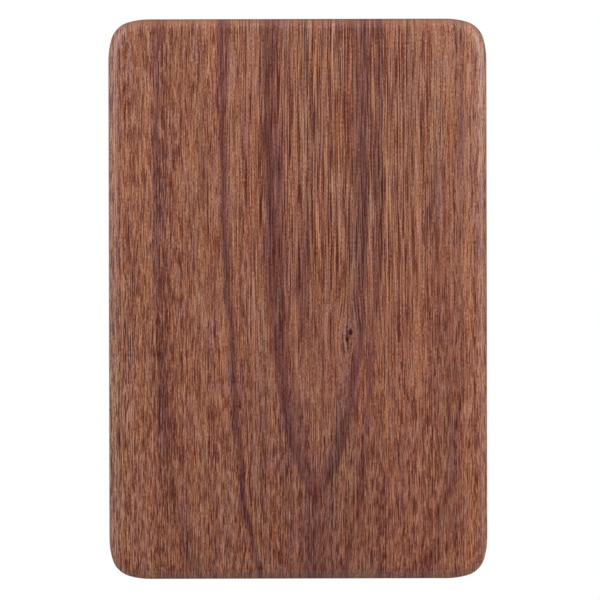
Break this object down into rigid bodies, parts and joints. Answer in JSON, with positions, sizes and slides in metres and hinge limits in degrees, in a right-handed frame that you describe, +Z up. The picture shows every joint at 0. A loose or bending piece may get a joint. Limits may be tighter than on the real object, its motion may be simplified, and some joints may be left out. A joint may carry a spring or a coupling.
{
  "type": "kalimba",
  "caption": "Flat-board kalimba: a rounded walnut board with steel tines held over a bridge rod by a screwed pressure bar; each tine springs down when plucked.",
  "frame": {"origin": "middle of the board's back face, on the surface that the kalimba lies on", "axes": "+Z up through the tines, +Y along the board towards the clamped ends of the tines, +X to the player's right"},
  "size_m": [0.125, 0.185, 0.0359],
  "materials": {
    "walnut": "satin lacquer",
    "dark_wood": "satin lacquer",
    "brass": "polished",
    "bar_steel": "plated",
    "screw_steel": "zinc plated",
    "tine_steel": "brushed"
  },
  "bodies": {
    "body": {"board": "walnut", "bridge": "dark_wood", "bridge_rod": "brass", "backstop": "dark_wood", "pressure_bar": "bar_steel", "clamp_screws": "screw_steel"},
    "tine_c4": {"tine_c4": "tine_steel"},
    "tine_d4": {"tine_d4": "tine_steel"},
    "tine_e4": {"tine_e4": "tine_steel"},
    "tine_f4": {"tine_f4": "tine_steel"},
    "tine_g4": {"tine_g4": "tine_steel"},
    "tine_a4": {"tine_a4": "tine_steel"},
    "tine_b4": {"tine_b4": "tine_steel"},
    "tine_c5": {"tine_c5": "tine_steel"},
    "tine_d5": {"tine_d5": "tine_steel"},
    "tine_e5": {"tine_e5": "tine_steel"},
    "tine_f5": {"tine_f5": "tine_steel"},
    "tine_g5": {"tine_g5": "tine_steel"},
    "tine_a5": {"tine_a5": "tine_steel"},
    "tine_b5": {"tine_b5": "tine_steel"},
    "tine_c6": {"tine_c6": "tine_steel"},
    "tine_d6": {"tine_d6": "tine_steel"},
    "tine_e6": {"tine_e6": "tine_steel"}
  },
  "joints": [
    {"name": "pluck_c4", "type": "hinge", "parent": "body", "child": "tine_c4", "pos_m": [0, 0.0485, 0.027], "axis": [1, 0, 0], "range_deg": [-0.9, 1.9], "stiffness_Nm_per_rad": 4.73},
    {"name": "pluck_d4", "type": "hinge", "parent": "body", "child": "tine_d4", "pos_m": [-0.0059, 0.0485, 0.027], "axis": [1, 0, 0], "range_deg": [-0.9, 1.9], "stiffness_Nm_per_rad": 5.01},
    {"name": "pluck_e4", "type": "hinge", "parent": "body", "child": "tine_e4", "pos_m": [0.0059, 0.0485, 0.027], "axis": [1, 0, 0], "range_deg": [-0.9, 1.9], "stiffness_Nm_per_rad": 5.31},
    {"name": "pluck_f4", "type": "hinge", "parent": "body", "child": "tine_f4", "pos_m": [-0.0118, 0.0485, 0.027], "axis": [1, 0, 0], "range_deg": [-0.9, 1.9], "stiffness_Nm_per_rad": 5.47},
    {"name": "pluck_g4", "type": "hinge", "parent": "body", "child": "tine_g4", "pos_m": [0.0118, 0.0485, 0.027], "axis": [1, 0, 0], "range_deg": [-0.9, 1.9], "stiffness_Nm_per_rad": 5.79},
    {"name": "pluck_a4", "type": "hinge", "parent": "body", "child": "tine_a4", "pos_m": [-0.0177, 0.0485, 0.027], "axis": [1, 0, 0], "range_deg": [-0.9, 1.9], "stiffness_Nm_per_rad": 6.14},
    {"name": "pluck_b4", "type": "hinge", "parent": "body", "child": "tine_b4", "pos_m": [0.0177, 0.0485, 0.027], "axis": [1, 0, 0], "range_deg": [-0.9, 1.9], "stiffness_Nm_per_rad": 6.5},
    {"name": "pluck_c5", "type": "hinge", "parent": "body", "child": "tine_c5", "pos_m": [-0.0236, 0.0485, 0.027], "axis": [1, 0, 0], "range_deg": [-0.9, 1.9], "stiffness_Nm_per_rad": 6.69},
    {"name": "pluck_d5", "type": "hinge", "parent": "body", "child": "tine_d5", "pos_m": [0.0236, 0.0485, 0.027], "axis": [1, 0, 0], "range_deg": [-0.9, 1.9], "stiffness_Nm_per_rad": 7.09},
    {"name": "pluck_e5", "type": "hinge", "parent": "body", "child": "tine_e5", "pos_m": [-0.0315, 0.0485, 0.027], "axis": [1, 0, 0], "range_deg": [-0.9, 1.9], "stiffness_Nm_per_rad": 7.51},
    {"name": "pluck_f5", "type": "hinge", "parent": "body", "child": "tine_f5", "pos_m": [0.0315, 0.0485, 0.027], "axis": [1, 0, 0], "range_deg": [-0.9, 1.9], "stiffness_Nm_per_rad": 7.73},
    {"name": "pluck_g5", "type": "hinge", "parent": "body", "child": "tine_g5", "pos_m": [-0.0374, 0.0485, 0.027], "axis": [1, 0, 0], "range_deg": [-0.9, 1.9], "stiffness_Nm_per_rad": 8.19},
    {"name": "pluck_a5", "type": "hinge", "parent": "body", "child": "tine_a5", "pos_m": [0.0374, 0.0485, 0.027], "axis": [1, 0, 0], "range_deg": [-0.9, 1.9], "stiffness_Nm_per_rad": 8.68},
    {"name": "pluck_b5", "type": "hinge", "parent": "body", "child": "tine_b5", "pos_m": [-0.0433, 0.0485, 0.027], "axis": [1, 0, 0], "range_deg": [-0.9, 1.9], "stiffness_Nm_per_rad": 9.19},
    {"name": "pluck_c6", "type": "hinge", "parent": "body", "child": "tine_c6", "pos_m": [0.0433, 0.0485, 0.027], "axis": [1, 0, 0], "range_deg": [-0.9, 1.9], "stiffness_Nm_per_rad": 9.46},
    {"name": "pluck_d6", "type": "hinge", "parent": "body", "child": "tine_d6", "pos_m": [-0.0492, 0.0485, 0.027], "axis": [1, 0, 0], "range_deg": [-0.9, 1.9], "stiffness_Nm_per_rad": 10.02},
    {"name": "pluck_e6", "type": "hinge", "parent": "body", "child": "tine_e6", "pos_m": [0.0492, 0.0485, 0.027], "axis": [1, 0, 0], "range_deg": [-0.9, 1.9], "stiffness_Nm_per_rad": 10.62}
  ]
}
